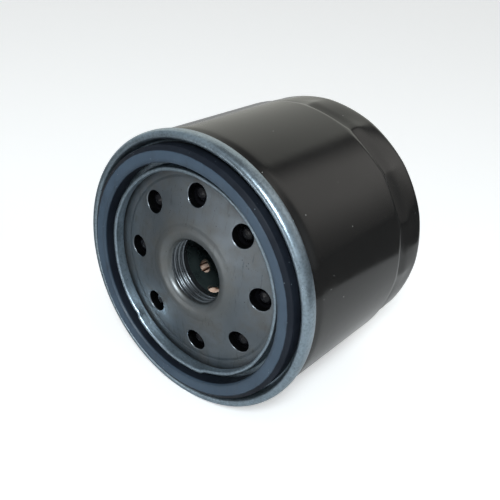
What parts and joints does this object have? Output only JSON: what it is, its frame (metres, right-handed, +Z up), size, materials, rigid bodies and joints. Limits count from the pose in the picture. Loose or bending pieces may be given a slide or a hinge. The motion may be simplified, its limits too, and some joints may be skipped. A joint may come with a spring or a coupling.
{
  "type": "oil filter",
  "caption": "Short spin-on oil filter: black can with wrench flats, zinc seam lid, rubber gasket, threaded base plate, pleated element and bypass valve inside.",
  "frame": {"origin": "on the surface that the filter lies on, under the middle of its box", "axes": "+Y along the filter's axis from the gasket towards the closed end, +Z up from the surface it lies on, +X to its right"},
  "size_m": [0.076, 0.062, 0.0761],
  "materials": {
    "black_paint": "satin-gloss black enamel on drawn steel",
    "zinc_plate": "bluish zinc plate, fine mottled grain",
    "bare_steel": "grey phosphated steel with rubbed marks",
    "dark_steel": "dark oiled steel",
    "gasket_rubber": "blue-grey bloom on moulded nitrile",
    "valve_rubber": "glossy black nitrile",
    "tan_paper": "resin-treated filter paper",
    "potting_resin": "cured adhesive",
    "spring_steel": "bright spring steel"
  },
  "bodies": {
    "filter_body": {"canister": "black_paint", "seam_retainer": "zinc_plate", "seam_compound": "potting_resin", "gasket": "gasket_rubber", "base_plate": "bare_steel", "antidrain_collar": "valve_rubber", "open_end_cap": "zinc_plate", "closed_end_cap": "zinc_plate", "open_end_potting": "potting_resin", "closed_end_potting": "potting_resin", "center_tube": "dark_steel", "filter_media": "tan_paper", "media_clip": "spring_steel", "bypass_housing": "zinc_plate", "bypass_seat_ring": "valve_rubber", "bypass_spring_retainer": "spring_steel", "bypass_spring": "spring_steel", "element_spring": "spring_steel"},
    "bypass_valve": {"bypass_poppet": "spring_steel"},
    "antidrain_flap": {"antidrain_lip": "valve_rubber"}
  },
  "joints": [
    {"name": "bypass_open", "type": "slide", "parent": "filter_body", "child": "bypass_valve", "axis": [0, -1, 0], "range_m": [0, 0.003], "stiffness_N_per_m": 1200, "springref_m": -0.006, "deforming": ["bypass_spring"]},
    {"name": "antidrain_open", "type": "slide", "parent": "filter_body", "child": "antidrain_flap", "axis": [0, 1, 0], "range_m": [0, 0.0012], "stiffness_N_per_m": 400, "springref_m": -0.001}
  ]
}
